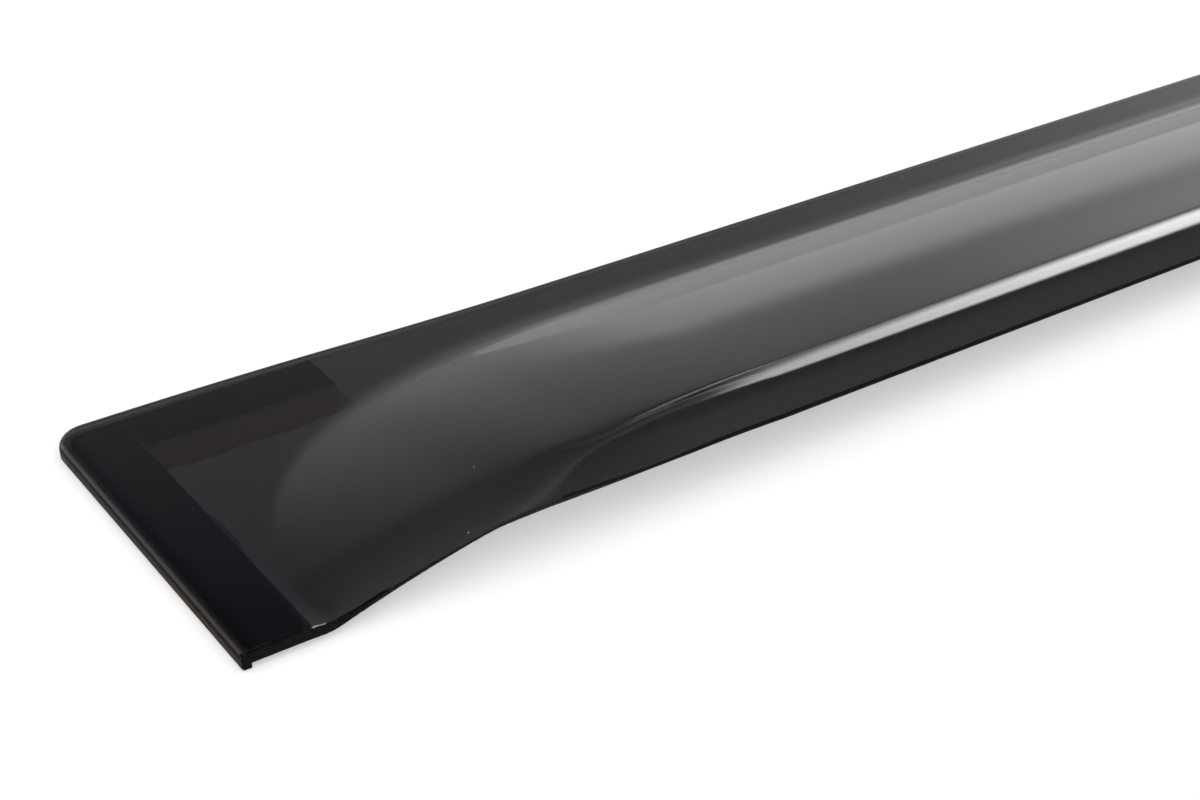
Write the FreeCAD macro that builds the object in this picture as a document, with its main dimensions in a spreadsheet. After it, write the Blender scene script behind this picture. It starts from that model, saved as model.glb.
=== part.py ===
"""Rain deflector for a car's side window, about 900 mm long.

The deflector is one strip of smoked acrylic sheet, formed hot over a mould and then trimmed. Along the
back it has a narrow flat flange. From there the sheet swells up to a crest near the front and turns down
in a short lip, so that air and rain pass under it. At each end the swelling runs out into a flat plate, and
a rim hangs from the plate and the flange all round. Two strips of foam tape lie inside the rim at each end,
and each strip still has its release liner.

The frame: X runs along the strip, Y from the lip at the front to the flange at the back, Z up. The strip
lies as it would on a table, on its liners. The origin is below the middle, on the table.
"""
import FreeCAD
import Part
import Sketcher
import math
import os

SIZES = [
    ("overall_length", 900.0, "from end to end"),
    ("overall_width", 85.0, "from the front edge to the back edge, at the ends"),
    ("back_step", 2.5, "how far the back edge draws in along the middle"),
    ("wall", 2.5, "thickness of the acrylic sheet"),
    ("corner_radius", 9.0, "back corners, seen from above"),
    ("rim_width", 1.8, "thickness of the rim that hangs from the edge"),
    ("rim_depth", 1.0, "how far the rim hangs below the sheet"),
    ("rim_round", 1.4, "rounding of the rim's upper edge"),
    ("flare_start", 16.2, "length of the flat plate at each end"),
    ("flare_length", 100.0, "length over which the swelling grows to its full height"),
    ("flange_width", 10.5, "flat flange along the back, from the edge to the foot of the swelling"),
    ("foot_radius", 25.0, "hollow bend at the foot of the swelling"),
    ("crest_rise", 14.5, "height of the crest above the flange"),
    ("crest_radius", 6.0, "bend of the crest along the middle, on the outside"),
    ("crest_slope", 6.0, "slope of the swelling where the crest begins, in degrees"),
    ("lip_angle", 73.0, "lean of the lip from the horizontal, in degrees"),
    ("lip_height", 9.1, "height of the trimmed edge's lower corner above the table"),
    ("lip_start", 44.0, "where the straight lip begins to grow, from the end of the plate"),
    ("lip_full", 64.0, "where the straight lip is full, from the end of the plate"),
    ("tape_width", 12.0, "foam tape"),
    ("tape_thickness", 1.1, "foam tape"),
    ("tape_gap", 0.4, "between the rim and the tape"),
    ("tape_setback", 0.4, "from the front edge to the end of the tape"),
    ("strip_length", 42.0, "tape along the flange, from the tape across the end"),
    ("tape_joint", 0.2, "between the two tapes at the corner"),
    ("liner_thickness", 0.1, "release liner"),
    ("liner_margin", 9.0, "how far the flange liner reaches past its tape"),
    ("liner_bulge", 1.6, "how far the end liner bows out beside its tape"),
    ("bulge_length", 21.0, "length of that bow"),
    ("bulge_middle", 48.0, "middle of that bow, from the back edge"),
]

# The foot of the swelling is a rounded diagonal in plan: a superellipse of this power.
FOOT_POWER = 2.5

# The flare is lofted through cross sections at even steps.
FLARE_STEPS = 20

# The narrowest flat at the trimmed edge, where the lip has not begun.
EDGE_FLAT = 0.5

# How softly the crest's bend opens where the edge reaches its height, in mm of radius.
CREST_EASE = 3.0

# A bow flatter than this is drawn as a straight line.
LEAST_BOW = 1e-6

doc = FreeCAD.newDocument("RainDeflector")


def make_sheet():
    """Write the driving sizes to a spreadsheet, each with its alias."""
    sheet = doc.addObject("Spreadsheet::Sheet", "Sizes")
    for row, (alias, value, note) in enumerate(SIZES, start=1):
        sheet.set(f"A{row}", alias)
        sheet.set(f"B{row}", str(value))
        sheet.setAlias(f"B{row}", alias)
        sheet.set(f"C{row}", note)
    doc.recompute()
    return sheet


SHEET = make_sheet()


def size(alias):
    """Return one driving size in millimetres or degrees."""
    return float(SHEET.get(alias))


def flange_underside():
    """Height of the flange's underside above the table: a tape and its liner."""
    return size("tape_thickness") + size("liner_thickness")


def rim_inset():
    """From the outer edge to where the sheet's own edge is buried in the rim."""
    return (size("rim_width") + size("rim_round")) / 2


def smooth_step(amount):
    """Rise smoothly from 0 to 1 as the amount goes from 0 to 1."""
    held = min(max(amount, 0), 1)
    return held**2 * (3 - 2 * held)


def back_edge(share):
    """Y of the back edge in the flare: two equal arcs that draw it in by the back step."""
    across = 1 - share
    outer = size("overall_width") / 2
    step = size("back_step")
    half_run = size("flare_length") / 2
    radius = (half_run**2 + (step / 2) ** 2) / step
    if across <= 0.5:
        run = across * size("flare_length")
        return outer - (radius - math.sqrt(radius**2 - run**2))
    run = share * size("flare_length")
    return outer - step + (radius - math.sqrt(radius**2 - run**2))


def outer_line(share):
    """Return the sheet's upper line in one cross section, from the back to the front.

    Each entry is (y, z, slope). The line is the flange, the hollow foot arc, the long crown arc, the crest
    arc and the straight lip. Arcs are given by their ends and their middle, so there are nine entries.
    """
    front = -size("overall_width") / 2
    top = flange_underside() + size("wall")
    flange_foot = size("overall_width") / 2 - size("back_step") - size("flange_width")
    foot = front + (flange_foot - front) * (1 - share**FOOT_POWER) ** (1 / FOOT_POWER)
    crest_height = top + size("crest_rise") * (1 - share**2)

    # The front leans over evenly along the flare.
    lean = math.radians(size("lip_angle")) * (1 - share)
    steepness = (crest_height - top) / (foot - front) * (flange_foot - front) / size("crest_rise")
    slope = math.radians(size("crest_slope")) * steepness

    # The straight lip grows between lip_start and lip_full, and the crest's bend tightens as it does.
    # Once the edge has risen to lip_height, it stays level.
    grown = (1 - share) * size("flare_length") - size("lip_start")
    turned = smooth_step(grown / (size("lip_full") - size("lip_start")))
    drop = crest_height - size("lip_height") - size("wall") * math.cos(lean)
    fall = 1 - math.cos(lean)
    full_lip = max(EDGE_FLAT, (drop - size("crest_radius") * fall) / math.sin(lean))
    lip = EDGE_FLAT + (full_lip - EDGE_FLAT) * turned
    excess = (drop - lip * math.sin(lean)) / fall - size("crest_radius")
    radius = size("crest_radius") + (excess + math.hypot(excess, CREST_EASE * (1 - turned))) / 2

    # The lip and the crest arc, worked back from the trimmed edge.
    edge_height = crest_height - radius * fall - lip * math.sin(lean)
    lip_top = (front + lip * math.cos(lean), edge_height + lip * math.sin(lean))
    centre = (lip_top[0] + radius * math.sin(lean), lip_top[1] - radius * math.cos(lean))

    def on_crest(angle):
        return (centre[0] + radius * math.sin(angle), centre[1] + radius * math.cos(angle), angle)

    crest_start = on_crest(slope)

    # The foot arc starts level at the foot. The crown arc joins it to the crest, tangent at both ends.
    bend = size("foot_radius")
    reach = foot - crest_start[0]
    lift = top + bend - crest_start[1]
    along = reach * math.sin(slope) + lift * math.cos(slope)
    crown = (reach**2 + lift**2 - bend**2) / (2 * (bend - along))
    crown_centre = (
        crest_start[0] - crown * math.sin(slope),
        crest_start[1] - crown * math.cos(slope),
    )
    steepest = math.atan2(foot - crown_centre[0], top + bend - crown_centre[1])

    def on_foot(angle):
        return (foot - bend * math.sin(angle), top + bend * (1 - math.cos(angle)), angle)

    def on_crown(angle):
        return (
            crown_centre[0] + crown * math.sin(angle),
            crown_centre[1] + crown * math.cos(angle),
            angle,
        )

    return [
        (back_edge(share) - rim_inset(), top, 0.0),
        (foot, top, 0.0),
        on_foot(steepest / 2),
        on_foot(steepest),
        on_crown((steepest + slope) / 2),
        crest_start,
        on_crest((slope - lean) / 2),
        on_crest(-lean),
        (front, edge_height, -lean),
    ]


def section_wire(x, line):
    """Return the closed wire of the sheet at x: the upper line, and the lower line one wall beneath it."""
    wall = size("wall")
    upper = [FreeCAD.Vector(x, y, z) for y, z, slope in line]
    lower = [
        FreeCAD.Vector(x, y - wall * math.sin(slope), z - wall * math.cos(slope))
        for y, z, slope in line
    ]
    edges = []
    for row in (upper, lower):
        edges.append(Part.makeLine(row[0], row[1]))
        for first in (1, 3, 5):
            start, middle, end = row[first : first + 3]
            bowed = middle.distanceToLine(start, end - start) > LEAST_BOW
            edges.append(Part.Arc(start, middle, end).toShape() if bowed else Part.makeLine(start, end))
        edges.append(Part.makeLine(row[7], row[8]))
    edges.append(Part.makeLine(upper[0], lower[0]))
    edges.append(Part.makeLine(upper[8], lower[8]))
    return Part.Wire(Part.__sortEdges__(edges))


def add_section(name, x, line):
    """Add one cross section of the sheet to the document."""
    section = doc.addObject("Part::Feature", name)
    section.Shape = section_wire(x, line)
    return section


def add_loft(name, sections, ruled):
    """Loft a solid through cross sections."""
    loft = doc.addObject("Part::Loft", name)
    loft.Sections = sections
    loft.Solid = True
    loft.Ruled = ruled
    return loft


def plane_of(body, role):
    """Return one of a body's own origin planes."""
    return next(item for item in body.Origin.OriginFeatures if item.Role == role)


def add_sketch(body, name, role, height=None):
    """Add a sketch on an origin plane of its own body, raised by an expression."""
    sketch = body.newObject("Sketcher::SketchObject", name)
    sketch.AttachmentSupport = [(plane_of(body, role), "")]
    sketch.MapMode = "FlatFace"
    if height:
        sketch.setExpression(".AttachmentOffset.Base.z", height)
    return sketch


def bind(sketch, kind, *places, to):
    """Add a driving constraint to a sketch and tie its value to the spreadsheet."""
    start = abs(sketch.evalExpression(to))
    index = sketch.addConstraint(Sketcher.Constraint(kind, *places, start))
    sketch.setExpression(f"Constraints[{index}]", to)


def add_pad(body, sketch, name, length):
    """Pad a sketch by an expression."""
    pad = body.newObject("PartDesign::Pad", name)
    pad.Profile = sketch
    pad.setExpression("Length", length)
    sketch.Visibility = False
    return pad


def vector(sketch, x, y):
    """Return a sketch point from two expressions."""
    return FreeCAD.Vector(sketch.evalExpression(x), sketch.evalExpression(y), 0)


def add_plate(name, inner, outer, back, front, corner, base, thickness):
    """Add a level plate whose outer back corner is rounded. Every argument after the name is an expression.

    inner and outer are its X limits, back and front its distances from the X axis.
    """
    body = doc.addObject("PartDesign::Body", name)
    sketch = add_sketch(body, name + "_outline", "XY_Plane", base)
    front_inner = vector(sketch, inner, f"-({front})")
    front_outer = vector(sketch, outer, f"-({front})")
    side_end = vector(sketch, outer, f"({back}) - ({corner})")
    back_end = vector(sketch, f"({outer}) - ({corner})", back)
    back_inner = vector(sketch, inner, back)
    middle = vector(sketch, f"({outer}) - ({corner})", f"({back}) - ({corner})")
    radius = sketch.evalExpression(corner)
    sketch.addGeometry(Part.LineSegment(front_inner, front_outer))
    sketch.addGeometry(Part.LineSegment(front_outer, side_end))
    circle = Part.Circle(middle, FreeCAD.Vector(0, 0, 1), radius)
    sketch.addGeometry(Part.ArcOfCircle(circle, 0, math.pi / 2))
    sketch.addGeometry(Part.LineSegment(back_end, back_inner))
    sketch.addGeometry(Part.LineSegment(back_inner, front_inner))
    sketch.addConstraint(Sketcher.Constraint("Coincident", 0, 2, 1, 1))
    sketch.addConstraint(Sketcher.Constraint("Tangent", 1, 2, 2, 1))
    sketch.addConstraint(Sketcher.Constraint("Tangent", 2, 2, 3, 1))
    sketch.addConstraint(Sketcher.Constraint("Coincident", 3, 2, 4, 1))
    sketch.addConstraint(Sketcher.Constraint("Coincident", 4, 2, 0, 1))
    sketch.addConstraint(Sketcher.Constraint("Horizontal", 0))
    sketch.addConstraint(Sketcher.Constraint("Vertical", 1))
    sketch.addConstraint(Sketcher.Constraint("Horizontal", 3))
    sketch.addConstraint(Sketcher.Constraint("Vertical", 4))
    bind(sketch, "DistanceX", -1, 1, 0, 1, to=inner)
    bind(sketch, "DistanceX", -1, 1, 0, 2, to=outer)
    bind(sketch, "DistanceY", 0, 1, -1, 1, to=front)
    bind(sketch, "DistanceY", -1, 1, 3, 2, to=back)
    bind(sketch, "Radius", 2, to=corner)
    add_pad(body, sketch, name + "_pad", thickness)
    return body


def add_rim():
    """Add half of the rim: its section is swept along the back edge, round the corner and along the end."""
    body = doc.addObject("PartDesign::Body", "right_rim")
    edge = add_sketch(body, "rim_path", "XY_Plane", "Sizes.tape_thickness + Sizes.liner_thickness")
    half_length = "Sizes.overall_length / 2"
    half_width = "Sizes.overall_width / 2"
    middle_back = f"{half_width} - Sizes.back_step"
    swell_end = f"{half_length} - Sizes.flare_start - Sizes.flare_length"
    plate_start = f"{half_length} - Sizes.flare_start"
    arc_radius = "((Sizes.flare_length / 2)^2 + (Sizes.back_step / 2)^2) / Sizes.back_step"
    radius = edge.evalExpression(arc_radius)
    corner = size("corner_radius")
    upward = FreeCAD.Vector(0, 0, 1)

    line_start = vector(edge, "0", middle_back)
    line_end = vector(edge, swell_end, middle_back)
    flare_end = vector(edge, plate_start, half_width)
    corner_start = vector(edge, f"{half_length} - Sizes.corner_radius", half_width)
    side_start = vector(edge, half_length, f"{half_width} - Sizes.corner_radius")
    side_end = vector(edge, half_length, f"-{half_width}")
    hollow = Part.Circle(line_end + FreeCAD.Vector(0, radius, 0), upward, radius)
    swell = Part.Circle(flare_end - FreeCAD.Vector(0, radius, 0), upward, radius)
    round_corner = Part.Circle(corner_start - FreeCAD.Vector(0, corner, 0), upward, corner)
    sweep = math.asin(size("flare_length") / 2 / radius)
    quarter = math.pi / 2
    edge.addGeometry(Part.LineSegment(line_start, line_end))
    edge.addGeometry(Part.ArcOfCircle(hollow, 3 * quarter, 3 * quarter + sweep))
    edge.addGeometry(Part.ArcOfCircle(swell, quarter, quarter + sweep))
    edge.addGeometry(Part.LineSegment(flare_end, corner_start))
    edge.addGeometry(Part.ArcOfCircle(round_corner, 0, quarter))
    edge.addGeometry(Part.LineSegment(side_start, side_end))
    edge.addConstraint(Sketcher.Constraint("Tangent", 0, 2, 1, 1))
    edge.addConstraint(Sketcher.Constraint("Tangent", 1, 2, 2, 2))
    edge.addConstraint(Sketcher.Constraint("Tangent", 2, 1, 3, 1))
    edge.addConstraint(Sketcher.Constraint("Tangent", 3, 2, 4, 2))
    edge.addConstraint(Sketcher.Constraint("Tangent", 4, 1, 5, 1))
    edge.addConstraint(Sketcher.Constraint("Horizontal", 0))
    edge.addConstraint(Sketcher.Constraint("Horizontal", 3))
    edge.addConstraint(Sketcher.Constraint("Vertical", 5))
    edge.addConstraint(Sketcher.Constraint("PointOnObject", 0, 1, -2))
    edge.addConstraint(Sketcher.Constraint("Equal", 1, 2))
    bind(edge, "DistanceY", -1, 1, 0, 1, to=middle_back)
    bind(edge, "DistanceX", -1, 1, 0, 2, to=swell_end)
    bind(edge, "DistanceX", -1, 1, 3, 1, to=plate_start)
    bind(edge, "DistanceY", -1, 1, 3, 1, to=half_width)
    bind(edge, "Radius", 4, to="Sizes.corner_radius")
    bind(edge, "DistanceX", -1, 1, 5, 1, to=half_length)
    bind(edge, "DistanceY", 5, 2, -1, 1, to=half_width)

    profile = add_sketch(body, "rim_section", "YZ_Plane")
    outside = middle_back
    inside = f"{middle_back} - Sizes.rim_width"
    bottom = "Sizes.tape_thickness + Sizes.liner_thickness - Sizes.rim_depth"
    top = "Sizes.tape_thickness + Sizes.liner_thickness + Sizes.wall"
    rim_round = size("rim_round")
    low_inside = vector(profile, inside, bottom)
    low_outside = vector(profile, outside, bottom)
    round_low = vector(profile, outside, f"{top} - Sizes.rim_round")
    round_high = vector(profile, f"{outside} - Sizes.rim_round", top)
    high_inside = vector(profile, inside, top)
    rounding = Part.Circle(round_low - FreeCAD.Vector(rim_round, 0, 0), upward, rim_round)
    profile.addGeometry(Part.LineSegment(low_inside, low_outside))
    profile.addGeometry(Part.LineSegment(low_outside, round_low))
    profile.addGeometry(Part.ArcOfCircle(rounding, 0, quarter))
    profile.addGeometry(Part.LineSegment(round_high, high_inside))
    profile.addGeometry(Part.LineSegment(high_inside, low_inside))
    profile.addConstraint(Sketcher.Constraint("Coincident", 0, 2, 1, 1))
    profile.addConstraint(Sketcher.Constraint("Tangent", 1, 2, 2, 1))
    profile.addConstraint(Sketcher.Constraint("Tangent", 2, 2, 3, 1))
    profile.addConstraint(Sketcher.Constraint("Coincident", 3, 2, 4, 1))
    profile.addConstraint(Sketcher.Constraint("Coincident", 4, 2, 0, 1))
    profile.addConstraint(Sketcher.Constraint("Horizontal", 0))
    profile.addConstraint(Sketcher.Constraint("Vertical", 1))
    profile.addConstraint(Sketcher.Constraint("Horizontal", 3))
    profile.addConstraint(Sketcher.Constraint("Vertical", 4))
    bind(profile, "DistanceX", -1, 1, 0, 1, to=inside)
    bind(profile, "DistanceX", -1, 1, 0, 2, to=outside)
    bind(profile, "DistanceY", -1, 1, 0, 1, to=bottom)
    bind(profile, "DistanceY", -1, 1, 3, 1, to=top)
    bind(profile, "Radius", 2, to="Sizes.rim_round")

    doc.recompute()
    pipe = body.newObject("PartDesign::AdditivePipe", "rim_sweep")
    pipe.Profile = profile
    pipe.Spine = (edge, [f"Edge{number}" for number in range(1, 7)])
    return body


def mirrored(source, name):
    """Add the mirror image of an object across the middle of the strip."""
    image = doc.addObject("Part::Mirroring", name)
    image.Source = source
    image.Normal = FreeCAD.Vector(1, 0, 0)
    image.Base = FreeCAD.Vector(0, 0, 0)
    return image


def make_shell():
    """Make the acrylic strip: the middle run, a flare and a plate at each end, and the rim."""
    plate_start = size("overall_length") / 2 - size("flare_start")
    sections = []
    for step in range(1, FLARE_STEPS + 1):
        across = step / FLARE_STEPS
        x = plate_start - size("flare_length") * across
        sections.append(add_section(f"flare_section_{step}", x, outer_line(1 - across)))

    # The ramp starts with a crease, so its first step is a loft of its own.
    top = flange_underside() + size("wall")
    flat_line = [(y, top, 0.0) for y, z, slope in outer_line(1 - 1 / FLARE_STEPS)]
    flat_line[0] = (back_edge(1) - rim_inset(), top, 0.0)
    flat_section = add_section("flare_section_0", plate_start, flat_line)
    ramp_start = add_loft("right_ramp_start", [flat_section, sections[0]], ruled=True)
    flare = add_loft("right_flare", sections, ruled=False)

    run = doc.addObject("Part::Extrusion", "middle_run")
    run.Base = sections[-1]
    run.DirMode = "Custom"
    run.Dir = FreeCAD.Vector(-1, 0, 0)
    run.Solid = True
    run.setExpression(
        "LengthFwd", "Sizes.overall_length - 2 * (Sizes.flare_start + Sizes.flare_length)"
    )

    inset = "(Sizes.rim_width + Sizes.rim_round) / 2"
    plate = add_plate(
        "right_plate",
        inner="Sizes.overall_length / 2 - Sizes.flare_start",
        outer=f"Sizes.overall_length / 2 - {inset}",
        back=f"Sizes.overall_width / 2 - {inset}",
        front="Sizes.overall_width / 2",
        corner=f"Sizes.corner_radius - {inset}",
        base="Sizes.tape_thickness + Sizes.liner_thickness",
        thickness="Sizes.wall",
    )
    rim = add_rim()
    doc.recompute()

    right_half = [flare, ramp_start, plate, rim]
    left_half = [mirrored(piece, piece.Name.replace("right", "left")) for piece in right_half]
    shell = doc.addObject("Part::MultiFuse", "deflector_shell")
    shell.Shapes = [run] + right_half + left_half
    shell.Refine = True
    return shell


def add_bulge(liner):
    """Add the shallow bow beside the end tape to its liner, as a second pad in the same body."""
    sketch = add_sketch(liner, "bulge_outline", "XY_Plane")
    inner = "Sizes.overall_length / 2 - Sizes.rim_width - Sizes.tape_gap - Sizes.tape_width"
    middle = "Sizes.overall_width / 2 - Sizes.bulge_middle"
    arc_radius = "((Sizes.bulge_length / 2)^2 + Sizes.liner_bulge^2) / (2 * Sizes.liner_bulge)"
    radius = sketch.evalExpression(arc_radius)
    half = math.asin(size("bulge_length") / 2 / radius)
    centre = vector(sketch, f"{inner} - Sizes.liner_bulge + {arc_radius}", middle)
    low = vector(sketch, inner, f"{middle} - Sizes.bulge_length / 2")
    high = vector(sketch, inner, f"{middle} + Sizes.bulge_length / 2")
    circle = Part.Circle(centre, FreeCAD.Vector(0, 0, 1), radius)
    sketch.addGeometry(Part.LineSegment(low, high))
    sketch.addGeometry(Part.ArcOfCircle(circle, math.pi - half, math.pi + half))
    sketch.addConstraint(Sketcher.Constraint("Coincident", 0, 2, 1, 1))
    sketch.addConstraint(Sketcher.Constraint("Coincident", 1, 2, 0, 1))
    sketch.addConstraint(Sketcher.Constraint("Vertical", 0))
    bind(sketch, "DistanceX", -1, 1, 0, 1, to=inner)
    bind(sketch, "DistanceY", 0, 1, 0, 2, to="Sizes.bulge_length")
    bind(sketch, "DistanceY", 0, 1, -1, 1, to=f"Sizes.bulge_length / 2 - ({middle})")
    bind(sketch, "Radius", 1, to=arc_radius)
    add_pad(liner, sketch, "bulge_pad", "Sizes.liner_thickness")


def add_strip(name, end, front, width, thickness):
    """Add a plain strip along the flange whose outer end and front edge are given by expressions."""
    strip = doc.addObject("Part::Box", name)
    strip.setExpression("Length", "Sizes.strip_length")
    strip.setExpression("Width", width)
    strip.setExpression("Height", thickness)
    strip.setExpression(".Placement.Base.x", f"{end} - Sizes.strip_length")
    strip.setExpression(".Placement.Base.y", front)
    return strip


def make_tapes():
    """Make the foam tapes of both ends and their release liners."""
    edge = "(Sizes.rim_width + Sizes.tape_gap)"
    band = dict(
        inner=f"Sizes.overall_length / 2 - {edge} - Sizes.tape_width",
        outer=f"Sizes.overall_length / 2 - {edge}",
        back=f"Sizes.overall_width / 2 - {edge}",
        front="Sizes.overall_width / 2 - Sizes.tape_setback",
        corner=f"Sizes.corner_radius - {edge}",
    )
    end_tape = add_plate(
        "right_end_tape", **band, base="Sizes.liner_thickness", thickness="Sizes.tape_thickness"
    )
    end_liner = add_plate("right_end_liner", **band, base="0", thickness="Sizes.liner_thickness")
    add_bulge(end_liner)

    strip_end = f"Sizes.overall_length / 2 - {edge} - Sizes.tape_width - Sizes.tape_joint"
    strip_front = f"Sizes.overall_width / 2 - {edge} - Sizes.tape_width"
    flange_tape = add_strip(
        "right_flange_tape", strip_end, strip_front, "Sizes.tape_width", "Sizes.tape_thickness"
    )
    flange_tape.setExpression(".Placement.Base.z", "Sizes.liner_thickness")
    flange_liner = add_strip(
        "right_flange_liner",
        strip_end,
        f"{strip_front} - Sizes.liner_margin",
        "Sizes.tape_width + Sizes.liner_margin",
        "Sizes.liner_thickness",
    )
    right_end = [end_tape, flange_tape, end_liner, flange_liner]
    return right_end + [mirrored(piece, piece.Name.replace("right", "left")) for piece in right_end]


def check(item):
    """Stop if an object of the document has failed."""
    if "Invalid" in item.State or "Error" in item.State:
        raise RuntimeError(f"{item.Name} did not build")


def write_parts(nodes):
    """Check each piece and write its solid to a file of its own."""
    os.makedirs("parts", exist_ok=True)
    for node in nodes:
        shape = node.Shape
        if shape.isNull() or not shape.isValid() or len(shape.Solids) != 1:
            raise RuntimeError(f"{node.Label} is not one valid solid")
        shape.Solids[0].exportStep(os.path.join("parts", node.Label + ".step"))
        print(node.Label, round(shape.Volume, 1), "mm3")


def main():
    """Build the strip with its tapes and write the parts."""
    nodes = [make_shell()] + make_tapes()
    doc.recompute()
    for item in doc.Objects:
        check(item)
    write_parts(nodes)


main()
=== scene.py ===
"""Looks of a smoked acrylic rain deflector for a car's side window.

The strip lies on a white table, on the release liners of its foam tapes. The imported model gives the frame.
This script makes the visible pieces around it: the formed sheet with its rim and its sawn edge, the foam
tapes and their red liners, then the table, the studio and the camera. Sizes are in millimetres until a
mesh is written, which is in metres.
"""

import logging
import math
from dataclasses import dataclass
from enum import Enum
from functools import partial, reduce
from typing import Any, Callable, NamedTuple

import bmesh
import bpy
from bmesh.types import BMEdge, BMFace, BMVert, BMesh
from bpy.types import Material, Node, NodeSocket as Socket, NodeTree, Object
from mathutils import Euler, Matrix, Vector, noise


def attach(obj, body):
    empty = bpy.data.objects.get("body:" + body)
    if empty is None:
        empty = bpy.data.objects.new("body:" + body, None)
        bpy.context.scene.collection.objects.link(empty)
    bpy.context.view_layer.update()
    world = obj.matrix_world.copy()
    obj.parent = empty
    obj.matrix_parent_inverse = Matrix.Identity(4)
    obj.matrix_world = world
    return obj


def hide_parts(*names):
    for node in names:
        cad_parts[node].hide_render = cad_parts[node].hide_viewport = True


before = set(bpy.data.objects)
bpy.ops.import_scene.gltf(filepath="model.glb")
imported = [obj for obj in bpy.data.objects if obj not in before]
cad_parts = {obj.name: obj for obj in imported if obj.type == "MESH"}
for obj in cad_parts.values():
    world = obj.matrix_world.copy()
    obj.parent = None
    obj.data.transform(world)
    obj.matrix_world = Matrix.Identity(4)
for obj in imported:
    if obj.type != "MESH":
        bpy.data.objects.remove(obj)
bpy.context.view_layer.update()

MM = 0.001

Colour = tuple[float, float, float, float]
Law = Callable[[float], float]

logging.basicConfig(level=logging.INFO, format="%(message)s")
log = logging.getLogger("rain_deflector")


class End(Enum):
    """The two ends of the strip, by the word that begins the names of their pieces."""

    LEFT = "left"
    RIGHT = "right"


def linear(hex_colour: str) -> Colour:
    """Turn an sRGB hex colour into linear RGBA.

    Args:
        hex_colour: Six hex digits, with or without the hash sign.

    Returns:
        Red, green, blue and an alpha of 1.
    """
    digits = hex_colour.lstrip("#")
    channels = [int(digits[place : place + 2], 16) / 255 for place in (0, 2, 4)]
    red, green, blue = (c / 12.92 if c <= 0.04045 else ((c + 0.055) / 1.055) ** 2.4 for c in channels)
    return (red, green, blue, 1.0)


class Grain(NamedTuple):
    """A cloudy pattern: the size of its clouds, how many finer layers it has and how strong they are."""

    size_mm: float
    detail: float
    roughness: float = 0.5


class Span(NamedTuple):
    """A stretch of a value, from start to end, and what those two turn into."""

    start: float
    end: float
    first: float = 0.0
    last: float = 1.0


@dataclass(frozen=True)
class Nodes:
    """A node tree, with the few steps that the finishes and the room are made of."""

    tree: NodeTree

    def add(self, kind: str, inputs: dict[Any, Any] | None = None, **settings: Any) -> Node:
        """Add one shader node with its settings, its values and its links.

        Args:
            kind: The node's type name.
            inputs: Value or source socket for each input, by the input's name or number.
            **settings: The node's own properties.

        Returns:
            The new node.
        """
        node = self.tree.nodes.new(kind)
        for name, value in settings.items():
            setattr(node, name, value)
        for key, value in (inputs or {}).items():
            if isinstance(value, Socket):
                self.tree.links.new(value, node.inputs[key])
            else:
                node.inputs[key].default_value = value
        return node

    def math(self, operation: str, *operands: Socket | float) -> Socket:
        """Work a value out from others."""
        return self.add("ShaderNodeMath", dict(enumerate(operands)), operation=operation).outputs[0]

    def mix(self, share: Socket, first: Socket | Colour, second: Socket | Colour) -> Socket:
        """Mix two colours by the share of the second."""
        inputs = {0: share, "A": first, "B": second}
        return self.add("ShaderNodeMix", inputs, data_type="RGBA").outputs[2]

    def span(self, value: Socket, span: Span, **settings: Any) -> Socket:
        """Turn a stretch of a value into another stretch, held at both ends."""
        inputs = {"Value": value, 1: span.start, 2: span.end, 3: span.first, 4: span.last}
        return self.add("ShaderNodeMapRange", inputs, **settings).outputs[0]

    def grain(self, place: Socket, grain: Grain) -> Socket:
        """Spread a cloudy pattern over a surface."""
        inputs = {
            "Vector": place,
            "Scale": 1 / (grain.size_mm * MM),
            "Detail": grain.detail,
            "Roughness": grain.roughness,
        }
        return self.add("ShaderNodeTexNoise", inputs).outputs["Fac"]

    def cells(self, place: Socket, size_mm: float) -> Node:
        """Spread random cells of one size over a surface."""
        return self.add("ShaderNodeTexVoronoi", {"Vector": place, "Scale": 1 / (size_mm * MM)})

    def bump(self, height: Socket, depth_mm: float, strength: float = 1.0) -> Socket:
        """Bend the surface's normals over a relief."""
        inputs = {"Height": height, "Distance": depth_mm * MM, "Strength": strength}
        return self.add("ShaderNodeBump", inputs).outputs[0]

    def surface(self, inputs: dict[str, Any], **others: Socket) -> None:
        """Finish a material with a principled surface.

        Args:
            inputs: The surface's inputs.
            **others: The material's other outputs, such as its volume.
        """
        shader = self.add("ShaderNodeBsdfPrincipled", inputs)
        self.add("ShaderNodeOutputMaterial", {"Surface": shader.outputs[0], **others})


def new_material(name: str) -> tuple[Material, Nodes, Socket]:
    """Return a new material, its empty nodes and the socket for a point's place on the object."""
    material = bpy.data.materials.new(name)
    material.use_nodes = True
    material.node_tree.nodes.clear()
    nodes = Nodes(material.node_tree)
    return material, nodes, nodes.add("ShaderNodeTexCoord").outputs["Object"]


def of_kind(kind: type, items: list[Any]) -> list[Any]:
    """Pick the vertices, edges or faces out of what a mesh operator returns."""
    return [item for item in items if isinstance(item, kind)]


def smooth_step(amount: float) -> float:
    """Rise smoothly from 0 to 1 as the amount goes from 0 to 1."""
    held = min(max(amount, 0.0), 1.0)
    return held**2 * (3 - 2 * held)


def even(start: float, end: float, steps: int) -> list[float]:
    """Return the places after start, up to and with end, at even steps."""
    return [start + (end - start) * step / steps for step in range(1, steps + 1)]


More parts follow.
